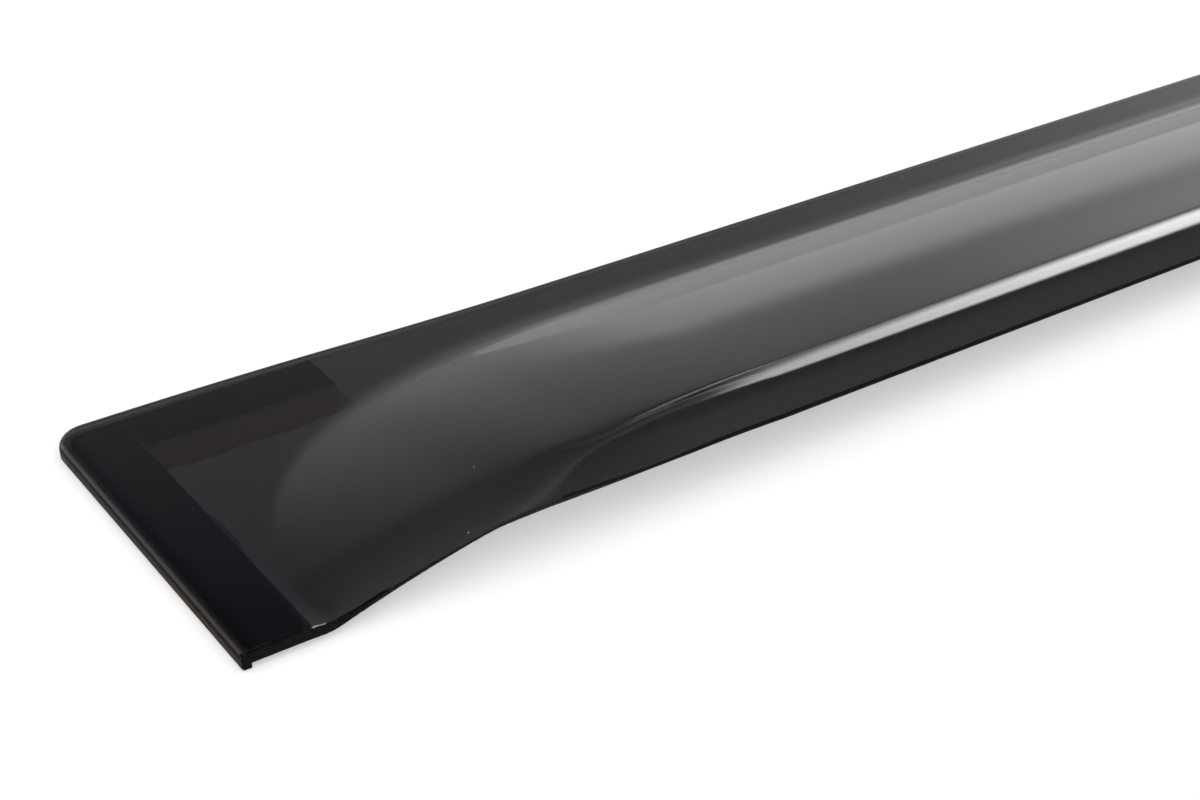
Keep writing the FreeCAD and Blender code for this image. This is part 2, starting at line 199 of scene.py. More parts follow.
def rounded(
    bm: BMesh, geom: list[Any], radius: float, segments: int, affect: str = "EDGES", clamp: bool = False
) -> None:
    """Round edges or corners of a mesh.

    Args:
        bm: The mesh, in metres.
        geom: The edges or corners.
        radius: How far the rounding reaches from them, in millimetres.
        segments: How many faces it gets.
        affect: EDGES or VERTICES.
        clamp: Whether it stops short of its neighbours.
    """
    bmesh.ops.bevel(
        bm,
        geom=geom,
        offset=radius * MM,
        offset_type="OFFSET",
        segments=segments,
        profile=0.5,
        affect=affect,
        material=-1,
        clamp_overlap=clamp,
    )


@dataclass(frozen=True)
class SmokedAcrylic:
    """Cast acrylic sheet with a smoke tint: a near-black mirror that lets a little light through.

    It was formed hot, so it is glossy but slightly wavy. Handling has left faint smears and a few specks of
    dust, and the end rims turn brown where they are seen edge on.
    """

    tint: str = "#787a7c"
    dust: str = "#d9d6cf"
    refraction: float = 1.49
    smear: Grain = Grain(26.0, 4.0, 0.6)
    haze: Span = Span(0.35, 0.7, 0.02, 0.06)
    flow: Grain = Grain(17.0, 1.0)
    flow_height_mm: float = 0.004
    dust_cell_mm: float = 5.0
    dust_radius_mm: float = 0.12
    dust_share: float = 0.2
    rim: str = "#8c6f50"
    rim_start_mm: float = 447.6
    rim_end_mm: float = 448.6
    body: str = "#5a3410"
    density: float = 160.0

    def material(self) -> Material:
        """Return the sheet's material."""
        material, nodes, place = new_material("smoked_cast_acrylic")

        # Faint smears from handling: the gloss varies a little over a few centimetres.
        haze = nodes.span(nodes.grain(place, self.smear), self.haze)

        # Sparse specks of dust, each a fraction of a millimetre across.
        cells = nodes.cells(place, self.dust_cell_mm).outputs
        near = nodes.math("LESS_THAN", cells["Distance"], self.dust_radius_mm / self.dust_cell_mm)
        picked = nodes.add("ShaderNodeSeparateColor", {"Color": cells["Color"]}).outputs["Red"]
        speck = nodes.math("MULTIPLY", near, nodes.math("LESS_THAN", picked, self.dust_share))

        # The end rims are seen edge on, where the smoke tint turns brown.
        along = nodes.add("ShaderNodeSeparateXYZ", {0: place}).outputs["X"]
        away = nodes.math("ABSOLUTE", along)
        rim = nodes.span(away, Span(self.rim_start_mm * MM, self.rim_end_mm * MM))
        smoke = nodes.mix(rim, linear(self.tint), linear(self.rim))

        # A long way through the sheet, as in the rim, turns the light brown.
        inside = nodes.add(
            "ShaderNodeVolumeAbsorption", {"Color": linear(self.body), "Density": self.density}
        )
        nodes.surface(
            {
                "Base Color": nodes.mix(speck, smoke, linear(self.dust)),
                "Roughness": haze,
                "IOR": self.refraction,
                "Transmission Weight": nodes.math("SUBTRACT", 1.0, speck),
                # The formed sheet is very slightly wavy, which bends the reflections.
                "Normal": nodes.bump(nodes.grain(place, self.flow), self.flow_height_mm),
            },
            Volume=inside.outputs[0],
        )
        return material


@dataclass(frozen=True)
class SawnAcrylic:
    """The sheet's sawn edge: a rough black cut, smoother on its chips, with pale flecks painted on as glints
    where the chips would catch the light.
    """

    shade: str = "#040405"
    # The chip colour is a painted glint: pale flecks that stand for chips catching the light.
    chip: str = "#7c7c84"
    grit: Grain = Grain(0.22, 3.0, 0.7)
    painted_glint_flecks: Span = Span(0.64, 0.74)
    gloss: Span = Span(0.3, 0.7, 0.7, 0.3)
    sheen: float = 0.15
    depth_mm: float = 0.12

    def material(self) -> Material:
        """Return the sawn edge's material."""
        material, nodes, place = new_material("sawn_acrylic_edge")
        grit = nodes.grain(place, self.grit)
        nodes.surface(
            {
                # Painted glints: the cut is painted pale where the grit is high.
                "Base Color": nodes.mix(nodes.span(grit, self.painted_glint_flecks), linear(self.shade), linear(self.chip)),
                "Roughness": nodes.span(grit, self.gloss),
                "Specular IOR Level": self.sheen,
                "Normal": nodes.bump(grit, self.depth_mm),
            }
        )
        return material


@dataclass(frozen=True)
class FoamTape:
    """Closed-cell foam mounting tape: matt navy-black, with fine cells on its cut sides."""

    shade: str = "#15151f"
    worn: str = "#1e1e2a"
    mottle: Grain = Grain(6.0, 5.0, 0.65)
    cell_mm: float = 0.35
    depth_mm: float = 0.05
    relief: float = 0.8
    dullness: float = 0.82

    def material(self) -> Material:
        """Return the foam's material."""
        material, nodes, place = new_material("closed_cell_foam_tape")
        cells = nodes.cells(place, self.cell_mm).outputs["Distance"]
        worn = nodes.grain(place, self.mottle)
        nodes.surface(
            {
                "Base Color": nodes.mix(worn, linear(self.shade), linear(self.worn)),
                "Roughness": self.dullness,
                "Normal": nodes.bump(cells, self.depth_mm, self.relief),
            }
        )
        return material


@dataclass(frozen=True)
class LinerFilm:
    """Red polythene release film: thin, satin and a little wrinkled where it is free of its tape."""

    red: str = "#d8161f"
    pale: str = "#e63a34"
    wrinkle: Grain = Grain(7.0, 3.0)
    satin: Span = Span(0.3, 0.7, 0.28, 0.42)
    depth_mm: float = 0.06
    relief: float = 0.6

    def material(self) -> Material:
        """Return the film's material."""
        material, nodes, place = new_material("red_polythene_liner")
        crease = nodes.grain(place, self.wrinkle)
        nodes.surface(
            {
                "Base Color": nodes.mix(crease, linear(self.red), linear(self.pale)),
                "Roughness": nodes.span(crease, self.satin),
                "Normal": nodes.bump(crease, self.depth_mm, self.relief),
            }
        )
        return material


class SectionPoint(NamedTuple):
    """A point of the sheet's upper line: its place, its slope and how far the edge has turned down there."""

    y: float
    z: float
    slope: float
    turn: float = 0.0


def arc(centre: tuple[float, float], radius: float, slopes: list[float]) -> list[SectionPoint]:
    """Return the points of an arc by their slopes. A negative radius puts it under its centre."""
    y, z = centre
    return [SectionPoint(y + radius * math.sin(a), z + radius * math.cos(a), a) for a in slopes]


def shortened(line: list[SectionPoint], cut: float) -> list[SectionPoint]:
    """Shorten a line at its end, keeping its number of points.

    Args:
        line: The line's points.
        cut: The length that is taken off.

    Returns:
        The points at even shares of what is left.
    """
    runs = [0.0]
    for point, following in zip(line, line[1:]):
        runs.append(runs[-1] + math.hypot(following.y - point.y, following.z - point.z))
    left = 1 - cut / runs[-1]
    points = []
    before = 0
    for run in runs:
        while before < len(line) - 2 and runs[before + 1] < run * left:
            before += 1
        here, following = line[before], line[before + 1]
        part = (run * left - runs[before]) / (runs[before + 1] - runs[before])
        points.append(SectionPoint(*(a + (b - a) * part for a, b in zip(here, following))))
    return points


def distances_to(line: list[SectionPoint], last: int) -> list[float]:
    """Return each point's distance to the one numbered last, along the line. Points after it get 0."""
    distances = [0.0] * len(line)
    for row in range(last - 1, -1, -1):
        here, following = line[row], line[row + 1]
        distances[row] = distances[row + 1] + math.hypot(following.y - here.y, following.z - here.z)
    return distances


@dataclass(frozen=True)
class StripForm:
    """Driving sizes of the formed strip, in millimetres and degrees.

    The section is the solid model's. The back corner's radius, the rim's rounding, the droop, sag and
    thinning near the strip's edges and the shape of the saw cut are this script's own.
    """

    length: float = 900.0
    width: float = 85.0
    back_step: float = 2.5
    wall: float = 2.5
    corner_radius: float = 6.5
    rim_width: float = 1.8
    rim_depth: float = 1.0
    rim_round: float = 1.4
    rim_foot: float = 0.35
    end_droop: float = 0.3
    end_droop_width: float = 4.5
    front_sag: float = 0.4
    front_sag_run: float = 6.0
    lip_sag: float = 0.5
    lip_sag_at: float = 84.0
    lip_sag_run: float = 26.0
    sag_reach: float = 12.0
    thinning: float = 1.0
    thin_start: float = 12.0
    thin_run: float = 12.0
    thick_start: float = 44.0
    thick_run: float = 24.0
    thin_reach: float = 14.0
    plate: float = 16.2
    flare: float = 100.0
    flange: float = 10.5
    foot_radius: float = 25.0
    rise: float = 14.5
    crest_radius: float = 6.0
    crest_slope: float = 6.0
    lip_angle: float = 73.0
    lip_height: float = 9.1
    lip_start: float = 44.0
    lip_full: float = 64.0
    underside: float = 1.2
    foot_power: float = 2.5
    edge_flat: float = 0.5
    least_rise: float = 0.002
    crest_ease: float = 3.0
    crease_ease: float = 2.0
    plate_round: float = 0.6
    rough_round: float = 0.45
    fine_round: float = 0.6
    edge_break: float = 0.15
    rough_start: float = 20.0
    rough_run: float = 20.0
    rough_length: float = 64.6

    def top(self) -> float:
        """Height of the flange's upper face."""
        return self.underside + self.wall

    def across(self, inset: float) -> float:
        """Work out how far the flare has risen at a distance from the end.

        Args:
            inset: Distance from the nearer end.

        Returns:
            The share of the flare's length, from 0 at the plate to 1, eased where it leaves the plate.
        """
        run = inset - self.plate
        ease = self.crease_ease
        if -ease < run < ease:
            run = (run + ease) ** 2 / (4 * ease)
        return min(max(run / self.flare, 0.0), 1.0)

    def back_edge(self, inset: float) -> float:
        """Y of the back edge: two equal arcs draw it in along the flare."""
        share = min(max((inset - self.plate) / self.flare, 0.0), 1.0)
        half_run = self.flare / 2
        radius = (half_run**2 + (self.back_step / 2) ** 2) / self.back_step
        run = min(share, 1 - share) * self.flare
        drawn = radius - math.sqrt(radius**2 - run**2)
        return self.width / 2 - (drawn if share <= 0.5 else self.back_step - drawn)

    def cut_sag(self, inset: float, from_cut: float) -> float:
        """Work out how far the sheet has sunk beside its saw cut.

        Args:
            inset: Distance from the nearer end.
            from_cut: Distance from the saw cut.

        Returns:
            The drop of both faces: nothing over the end tape, most just past where the lip is full.
        """
        run = inset - self.plate + self.front_sag_run / 2
        drop = self.front_sag * smooth_step(run / self.front_sag_run)
        drop += self.lip_sag * smooth_step(1 - abs(inset - self.lip_sag_at) / self.lip_sag_run)
        return drop * smooth_step(1 - from_cut / self.sag_reach)

    def cut_thinning(self, inset: float, from_cut: float) -> float:
        """Work out how much thinner the sheet is beside its saw cut, between the plate and the lip.

        Args:
            inset: Distance from the nearer end.
            from_cut: Distance from the saw cut.

        Returns:
            The drop of the upper face alone.
        """
        thinner = self.thinning * smooth_step((inset - self.thin_start) / self.thin_run)
        thinner *= 1 - smooth_step((inset - self.thick_start) / self.thick_run)
        return thinner * smooth_step(1 - from_cut / self.thin_reach)

    def end_sag(self, inset: float) -> float:
        """How far the upper face sags towards the end, where the sheet was drawn over its mould."""
        return self.end_droop * max(1 - inset / self.end_droop_width, 0.0) ** 2

    def edge_round(self, inset: float) -> float:
        """Radius of the sawn edge, which is least between the plate and the lip."""
        if inset > self.rough_length:
            return self.fine_round
        grown = smooth_step((inset - self.rough_start) / self.rough_run)
        return self.plate_round + (self.rough_round - self.plate_round) * grown

    def section(self, inset: float, rows: "SectionRows") -> list[SectionPoint]:
        """Return the sheet's upper line at a distance from the end, from the back to the sawn edge.

        Args:
            inset: Distance from the nearer end.
            rows: How many points each stretch of the line gets.

        Returns:
            One point for each row of the mesh.
        """
        across = self.across(inset)
        held = max(across, self.least_rise)
        share = 1 - held
        front = -self.width / 2
        top = self.top()
        flange_foot = self.width / 2 - self.back_step - self.flange
        foot = front + (flange_foot - front) * (1 - share**self.foot_power) ** (1 / self.foot_power)
        crest_height = top + self.rise * (1 - share**2)

        lean = math.radians(self.lip_angle) * held
        steepness = (crest_height - top) / (foot - front) * (flange_foot - front) / self.rise
        slope = math.radians(self.crest_slope) * steepness
        turned = smooth_step((held * self.flare - self.lip_start) / (self.lip_full - self.lip_start))
        drop = crest_height - self.lip_height - self.wall * math.cos(lean)
        fall = 1 - math.cos(lean)
        full_lip = max(self.edge_flat, (drop - self.crest_radius * fall) / math.sin(lean))
        lip = self.edge_flat + (full_lip - self.edge_flat) * turned
        excess = (drop - lip * math.sin(lean)) / fall - self.crest_radius
        radius = self.crest_radius + (excess + math.hypot(excess, self.crest_ease * (1 - turned))) / 2

        edge_height = crest_height - radius * fall - lip * math.sin(lean)
        lip_top = (front + lip * math.cos(lean), edge_height + lip * math.sin(lean))
        centre = (lip_top[0] + radius * math.sin(lean), lip_top[1] - radius * math.cos(lean))
        crest_start = (centre[0] + radius * math.sin(slope), centre[1] + radius * math.cos(slope))
        bend = self.foot_radius
        reach = foot - crest_start[0]
        lift = top + bend - crest_start[1]
        along = reach * math.sin(slope) + lift * math.cos(slope)
        crown = (reach**2 + lift**2 - bend**2) / (2 * (bend - along))
        crown_centre = (crest_start[0] - crown * math.sin(slope), crest_start[1] - crown * math.cos(slope))
        steepest = math.atan2(foot - crown_centre[0], top + bend - crown_centre[1])

        back = self.back_edge(inset)
        line = [SectionPoint(back - step, top, 0.0) for step in rows.back_insets]
        line += [SectionPoint(y, top, 0.0) for y in even(back - rows.back_insets[-1], foot, rows.flat)]
        line += arc((foot, top + bend), -bend, even(0.0, steepest, rows.foot))
        line += arc(crown_centre, crown, even(steepest, slope, rows.crown))
        crest = len(line) - 1
        line += arc(centre, radius, even(slope, -lean, rows.crest))
        for down in even(0.0, lip, rows.lip):
            y, z = lip_top[0] - down * math.cos(lean), lip_top[1] - down * math.sin(lean)
            line.append(SectionPoint(y, z, -lean))
        line[crest:] = shortened(line[crest:], self.edge_round(inset))
        tip = line[-1]
        line += [tip._replace(turn=turn) for turn in even(0.0, math.pi / 2, rows.edge)]
        # The plate is flat: the rise fades in from nothing over the first fraction of the flare.
        fade = min(across / self.least_rise, 1.0)
        return [SectionPoint(p.y, top + (p.z - top) * fade, p.slope * fade, p.turn) for p in line]


@dataclass(frozen=True)
class SectionRows:
    """The section's mesh rows: where the back's own lie, and how many each other stretch gets.

    The first polished rows of the rounded edge still have the sheet's gloss, except along the lip.
    """

    back_insets: tuple[float, ...] = (0.0, 1.8, 3.0, 4.2, 5.4, 6.5)
    flat: int = 4
    foot: int = 8
    crown: int = 24
    crest: int = 18
    lip: int = 5
    edge: int = 4
    polished: int = 2

    def loops(self) -> int:
        """Number of rows that go round the back corners."""
        return len(self.back_insets) - 1

    def sheet(self) -> int:
        """Number of the row where the sheet's face ends at the saw cut."""
        return self.loops() + self.flat + self.foot + self.crown + self.crest + self.lip

    def last(self) -> int:
        """Number of the last row, round the edge."""
        return self.sheet() + self.edge


@dataclass
class FormedSheet:
    """The acrylic strip: a formed sheet with a rim under its back and its ends, sawn along the front."""

    form: StripForm = StripForm()
    rows: SectionRows = SectionRows()
    acrylic: SmokedAcrylic = SmokedAcrylic()
    sawn: SawnAcrylic = SawnAcrylic()
    rim_segments: int = 7
    chip: float = 0.16
    fine_chip: float = 0.03
    chip_run: float = 1.3
    chip_row: float = 0.8
    corner_clearance: float = 1.0
    finish_gap: float = 0.2
    rough_steps: int = 110
    flare_steps: int = 26
    middle_steps: int = 60
    crease_angle: float = 38.0

    def end_insets(self) -> list[float]:
        """Return the stations of one end, by their distance from it."""
        form = self.form
        start = form.corner_radius + self.corner_clearance
        end = form.rough_length + self.finish_gap
        stations = [*self.rows.back_insets, start]
        stations += even(start, form.rough_length - self.finish_gap / 2, self.rough_steps)
        stations.append(end)
        stations += even(end, form.plate + form.flare, self.flare_steps)
        return stations

    def stations(self) -> list[float]:
        """Return the X of every station, from the left end to the right end."""
        half = self.form.length / 2
        left = [inset - half for inset in self.end_insets()]
        middle = even(left[-1], -left[-1], self.middle_steps)
        return left + middle[:-1] + [-x for x in reversed(left)]

    def corner_centre(self) -> tuple[float, float]:
        """X and Y of the centre of the right back corner."""
        radius = self.form.corner_radius
        return self.form.length / 2 - radius, self.form.width / 2 - radius

    def corner_place(self, column: int, row: int, side: int) -> tuple[float, float]:
        """Place a vertex in plan where the end's columns and the back's rows go round the corner.

        Args:
            column: Number of the column, counted from the end.
            row: Number of the row, counted from the back.
            side: -1 at the left end, 1 at the right end.

        Returns:
            X and Y.
        """
        loop = min(column, row)
        left_over = self.rows.loops() - loop
        radius = self.form.corner_radius - self.rows.back_insets[loop]
        turn = math.pi / 4 * (column - row) / left_over if left_over else 0.0
        angle = math.pi / 4 + turn
        centre_x, centre_y = self.corner_centre()
        return side * (centre_x + radius * math.cos(angle)), centre_y + radius * math.sin(angle)

    def outwards(self, point: Vector, rim_end: bool) -> Vector:
        """Find the direction away from the strip at a point of its outline.

        Args:
            point: The point, in metres.
            rim_end: Whether it belongs to an end rather than to the back.

        Returns:
            A level unit vector.
        """
        side = 1 if point.x > 0 else -1
        centre_x, centre_y = self.corner_centre()
        from_corner = Vector((abs(point.x) / MM - centre_x, point.y / MM - centre_y, 0))
        if min(from_corner.x, from_corner.y) <= 0:
            return Vector((side, 0, 0)) if rim_end else Vector((0, 1, 0))
        from_corner.normalize()
        return Vector((side * from_corner.x, from_corner.y, 0))

    def build(self) -> Object:
        """Make the strip's mesh and dress it.

        Returns:
            The strip, which stands for the solid model's shell.
        """
        stations = self.stations()
        last_column = len(stations) - 1
        last_row = self.rows.last()
        sheet_row = self.rows.sheet()
        half = self.form.length / 2
        lines = [self.form.section(half - abs(x), self.rows) for x in stations]
        from_cut = [distances_to(line, sheet_row) for line in lines]
        loops = self.rows.loops()

        bm = bmesh.new()
        bmesh.ops.create_grid(bm, x_segments=last_column, y_segments=last_row, size=1.0)
        column_layer = bm.verts.layers.int.new("column")
        row_layer = bm.verts.layers.int.new("row")
        for vertex in bm.verts:
            vertex[column_layer] = round((vertex.co.x + 1) / 2 * last_column)
            vertex[row_layer] = last_row - round((vertex.co.y + 1) / 2 * last_row)

        def place(vertex: BMVert, depth: float) -> Vector:
            """Return a vertex's place, a depth below the upper face."""
            column, row = vertex[column_layer], vertex[row_layer]
            point = lines[column][row]
            x, y = stations[column], point.y
            from_end = min(column, last_column - column)
            if from_end < loops and row < loops:
                x, y = self.corner_place(from_end, row, -1 if column == from_end else 1)
            edge_round = self.form.edge_round(half - abs(stations[column]))
            ahead = edge_round * math.sin(point.turn)
            if row >= sheet_row:
                # The saw has left chips, coarse beside the plate and fine along the lip.
                chip = self.chip if abs(x) > half - self.form.rough_length else self.fine_chip
                grain = Vector((x * self.chip_run, row * self.chip_row, depth))
                ahead -= chip * abs(noise.noise(grain))
            corner = self.form.edge_break if depth else edge_round
            depth += corner * (1 - math.cos(point.turn)) * (-1 if depth else 1)
            y -= depth * math.sin(point.slope) + ahead * math.cos(point.slope)
            z = point.z - depth * math.cos(point.slope) + ahead * math.sin(point.slope)
            inset = half - abs(x)
            z -= self.form.cut_sag(inset, from_cut[column][row])
            if vertex not in lower_vertices:
                z -= self.form.end_sag(inset) + self.form.cut_thinning(inset, from_cut[column][row])
            return Vector((x, y, z)) * MM

        upper_faces = set(bm.faces)
        copied = bmesh.ops.duplicate(bm, geom=[*bm.verts, *bm.edges, *bm.faces])["geom"]
        lower_vertices = set(of_kind(BMVert, copied))
        lower_faces = of_kind(BMFace, copied)
        for vertex in bm.verts:
            vertex.co = place(vertex, self.form.wall if vertex in lower_vertices else 0.0)
        bmesh.ops.reverse_faces(bm, faces=lower_faces)
        rims = [edge for edge in bm.edges if edge.is_boundary]
        bmesh.ops.bridge_loops(bm, edges=rims)

        def on_border(items: Any) -> bool:
            """Whether every vertex lies in the outermost strip along the back or one end."""
            rows = [vertex[row_layer] for vertex in items]
            columns = [vertex[column_layer] for vertex in items]
            return max(rows) <= 1 or max(columns) <= 1 or min(columns) >= last_column - 1

        rim_faces = [face for face in lower_faces if on_border(face.verts)]
        foot = self.form.rim_foot
        for drop, draw in ((self.form.rim_depth - foot, 0.0), (foot, foot)):
            hung = bmesh.ops.extrude_face_region(bm, geom=rim_faces)["geom"]
            for vertex in of_kind(BMVert, hung):
                vertex.co.z -= drop * MM
                rim_end = vertex[column_layer] in (0, last_column)
                if rim_end or vertex[row_layer] == 0:
                    vertex.co -= self.outwards(vertex.co, rim_end) * draw * MM
            bmesh.ops.delete(bm, geom=rim_faces, context="FACES_ONLY")
            rim_faces = of_kind(BMFace, hung)

        smooth_cut = (half - self.form.rough_length) * MM
        for face in bm.faces:
            along_lip = all(abs(vertex.co.x) <= smooth_cut for vertex in face.verts)
            first = sheet_row + (0 if along_lip else self.rows.polished)
            if all(vertex[row_layer] >= first for vertex in face.verts):
                face.material_index = 1

        def outside(edge: BMEdge) -> bool:
            """Whether an edge is the upper outer edge of the rim."""
            if sum(face in upper_faces for face in edge.link_faces) != 1:
                return False
            rows = {vertex[row_layer] for vertex in edge.verts}
            columns = {vertex[column_layer] for vertex in edge.verts}
            return rows == {0} or (columns in ({0}, {last_column}) and max(rows) <= sheet_row)

        rim_edges = [edge for edge in bm.edges if outside(edge)]
        rounded(bm, rim_edges, self.form.rim_round, self.rim_segments)
        materials = [self.acrylic.material(), self.sawn.material()]
        angle = self.crease_angle
        return finish_piece(bm, "formed_sheet", materials, "deflector_shell", angle)


def new_object(bm: BMesh, name: str, materials: list[Material]) -> Object:
    """Put a finished bmesh into the scene as an object with its materials."""
    mesh = bpy.data.meshes.new(name)
    bm.to_mesh(mesh)
    bm.free()
    for material in materials:
        mesh.materials.append(material)
    made = bpy.data.objects.new(name, mesh)
    bpy.context.scene.collection.objects.link(made)
    return made


def finish_piece(
    bm: BMesh, name: str, materials: list[Material], node: str, crease_angle: float = 35.0
) -> Object:
    """Turn a bmesh into a piece that stands for a node of the solid model.

    Args:
        bm: The mesh, in metres and in its place.
        name: The piece's name.
        materials: The piece's materials, by their index on the faces.
        node: The node that the piece replaces.
        crease_angle: Edges sharper than this, in degrees, stay crisp.

    Returns:
        The piece.
    """
    for face in bm.faces:
        face.smooth = True
    for edge in bm.edges:
        finishes = {face.material_index for face in edge.link_faces}
        edge.smooth = len(finishes) == 1 and edge.calc_face_angle(0.0) < math.radians(crease_angle)
    piece = new_object(bm, name, materials)
    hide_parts(node)
    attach(piece, "root")
    return piece


class Outline(NamedTuple):
    """A plate in plan, in millimetres: its ends by their distance from the strip's middle, and its Y."""

    inner: float
    outer: float
    front: float
    back: float


@dataclass
class TapedEnd:
    """The two foam tapes under one end of the strip, each with its release liner."""

    end: End
    foam: Material
    film: Material
    form: StripForm = StripForm()
    tape_width: float = 12.0
    tape_thickness: float = 1.1
    tape_gap: float = 0.4
    tape_setback: float = 0.4
    strip_length: float = 42.0
    tape_joint: float = 0.05
    liner_thickness: float = 0.1
    liner_margin: float = 9.0
    liner_bulge: float = 1.6
    bulge_length: float = 21.0
    bulge_middle: float = 48.0
    margin_lift: float = 0.7
    ripple_base: float = 0.6
    ripples: tuple[tuple[float, float, float], ...] = ((0.25, 0.35, 0.0), (0.15, 0.81, 1.3))
    cut_wander: float = 0.12
    side_waves: tuple[float, float] = (0.61, 0.23)
    side_phase: float = 2.0
    front_wave: float = 1.7
    cut_back: float = 1.7
    soft_edge: float = 0.12
    soft_segments: int = 2
    corner_segments: int = 10
    cuts: int = 30
    cut_edge_share: float = 0.9
    film_grid: tuple[int, int] = (48, 24)
    same_place: float = 0.001
    level_normal: float = 0.5

    def label(self, piece: str) -> str:
        """Name of one piece or node at this end."""
        return f"{self.end.value}_{piece}"

    def edge_inset(self) -> float:
        """From the strip's outer edge to the tape."""
        return self.form.rim_width + self.tape_gap

    def plate(
        self, outline: Outline, base: float, thickness: float, corner: float = 0.0, bow: Law | None = None
    ) -> BMesh:
        """Make a thin plate whose inner and front edges are cut a little unevenly.

        Args:
            outline: The plate in plan.
            base: Height of its underside.
            thickness: Its thickness.
            corner: Radius of its outer back corner, or 0.
            bow: How far the inner edge bows inwards, by Y.

        Returns:
            The plate's mesh, in metres.
        """
        inner, outer, front, back = outline
        bm = bmesh.new()
        bmesh.ops.create_grid(bm, x_segments=1, y_segments=1, size=1.0)
        for vertex in bm.verts:
            x = inner if vertex.co.x < 0 else outer
            y = front if vertex.co.y < 0 else back
            vertex.co = Vector((x, y, base)) * MM
        if corner:
            tip = max(bm.verts, key=lambda vertex: vertex.co.x + vertex.co.y)
            rounded(bm, [tip], corner, self.corner_segments, affect="VERTICES")
        shortest = self.tape_width * self.cut_edge_share * MM
        long_edges = [edge for edge in bm.edges if edge.calc_length() > shortest]
        bmesh.ops.subdivide_edges(bm, edges=long_edges, cuts=self.cuts)
        wave, slow_wave = self.side_waves
        for vertex in bm.verts:
            x, y = vertex.co.x / MM, vertex.co.y / MM
            if abs(x - inner) < self.same_place:
                x += self.cut_wander * math.sin(y * wave + self.side_phase) * math.sin(y * slow_wave)
                x -= bow(y) if bow else 0.0
            if abs(y - front) < self.same_place:
                y += self.cut_wander * (1 + math.sin(x * self.front_wave)) / 2
            vertex.co = Vector((x, y, base)) * MM
        return self.thickened(bm, thickness)

    def thickened(self, bm: BMesh, thickness: float) -> BMesh:
        """Give a flat mesh its thickness, upwards, and put it at this end."""
        top = bmesh.ops.extrude_face_region(bm, geom=list(bm.faces), use_keep_orig=True)["geom"]
        bmesh.ops.translate(bm, verts=of_kind(BMVert, top), vec=Vector((0, 0, thickness * MM)))
        if self.end is End.LEFT:
            bmesh.ops.scale(bm, vec=Vector((-1, 1, 1)), verts=bm.verts)
        bmesh.ops.recalc_face_normals(bm, faces=bm.faces)
        return bm

    def bow(self, y: float) -> float:
        """How far the end liner bows out beside its tape, by Y."""
        middle = self.form.width / 2 - self.bulge_middle
        away = (y - middle) / (self.bulge_length / 2)
        if abs(away) >= 1:
            return 0.0
        radius = ((self.bulge_length / 2) ** 2 + self.liner_bulge**2) / (2 * self.liner_bulge)
        drop = radius - math.sqrt(radius**2 - (y - middle) ** 2)
        return self.liner_bulge - drop

    def end_plate(self, base: float, thickness: float, bow: Law | None = None) -> BMesh:
        """Make the plate of the tape or liner across the end."""
        half = self.form.length / 2
        inset = self.edge_inset()
        outline = Outline(
            inner=half - inset - self.tape_width,
            outer=half - inset,
            front=self.tape_setback + self.cut_back - self.form.width / 2,
            back=self.form.width / 2 - inset,
        )
        return self.plate(outline, base, thickness, self.form.corner_radius - inset, bow)

    def soften(self, bm: BMesh) -> BMesh:
        """Round a foam plate's upper and lower edges, where the cutter has pressed them."""

        def pressed(edge: BMEdge) -> bool:
            """Whether an edge joins a level face to a side."""
            level = [abs(face.normal.z) > self.level_normal for face in edge.link_faces]
            return len(level) == 2 and sum(level) == 1

        edges = [edge for edge in bm.edges if pressed(edge)]
        rounded(bm, edges, self.soft_edge, self.soft_segments, clamp=True)
        return bm

    def flange_liner(self, outline: Outline) -> BMesh:
        """Make the film under the flange tape, whose free margin lifts a little off the table.

        Args:
            outline: The film in plan. Its front edge is the free one.

        Returns:
            The film's mesh, in metres.
        """
        inner, outer, front, back = outline
        bm = bmesh.new()
        columns, rows = self.film_grid
        bmesh.ops.create_grid(bm, x_segments=columns, y_segments=rows, size=1.0)
        for vertex in bm.verts:
            along, over = (vertex.co.x + 1) / 2, (vertex.co.y + 1) / 2
            x = inner + (outer - inner) * along
            y = front + (back - front) * over
            free = min(max((front + self.liner_margin - y) / self.liner_margin, 0.0), 1.0)
            ripple = self.ripple_base
            ripple += sum(share * math.sin(x * wave + phase) for share, wave, phase in self.ripples)
            vertex.co = Vector((x, y, self.margin_lift * free**2 * ripple)) * MM
        return self.thickened(bm, self.liner_thickness)

    def build(self) -> list[Object]:
        """Make the tapes and liners of this end.

        Returns:
            The four pieces.
        """
        back = self.form.width / 2 - self.edge_inset()
        outer = self.form.length / 2 - self.edge_inset() - self.tape_width - self.tape_joint
        flange = Outline(outer - self.strip_length, outer, back - self.tape_width, back)
        film = flange._replace(front=flange.front - self.liner_margin)
        base = self.liner_thickness
        end_tape = self.soften(self.end_plate(base, self.tape_thickness))
        flange_tape = self.soften(self.plate(flange, base, self.tape_thickness))
        end_liner = self.end_plate(0.0, self.liner_thickness, self.bow)
        pieces = []
        for piece, bm, material, slot in (
            ("end_tape", end_tape, self.foam, "foam_tape"),
            ("flange_tape", flange_tape, self.foam, "foam_tape"),
            ("end_liner", end_liner, self.film, "release_liner"),
            ("flange_liner", self.flange_liner(film), self.film, "release_liner"),
        ):
            name = self.label(piece)
            pieces.append(finish_piece(bm, name + "_piece", [material], name))
        return pieces


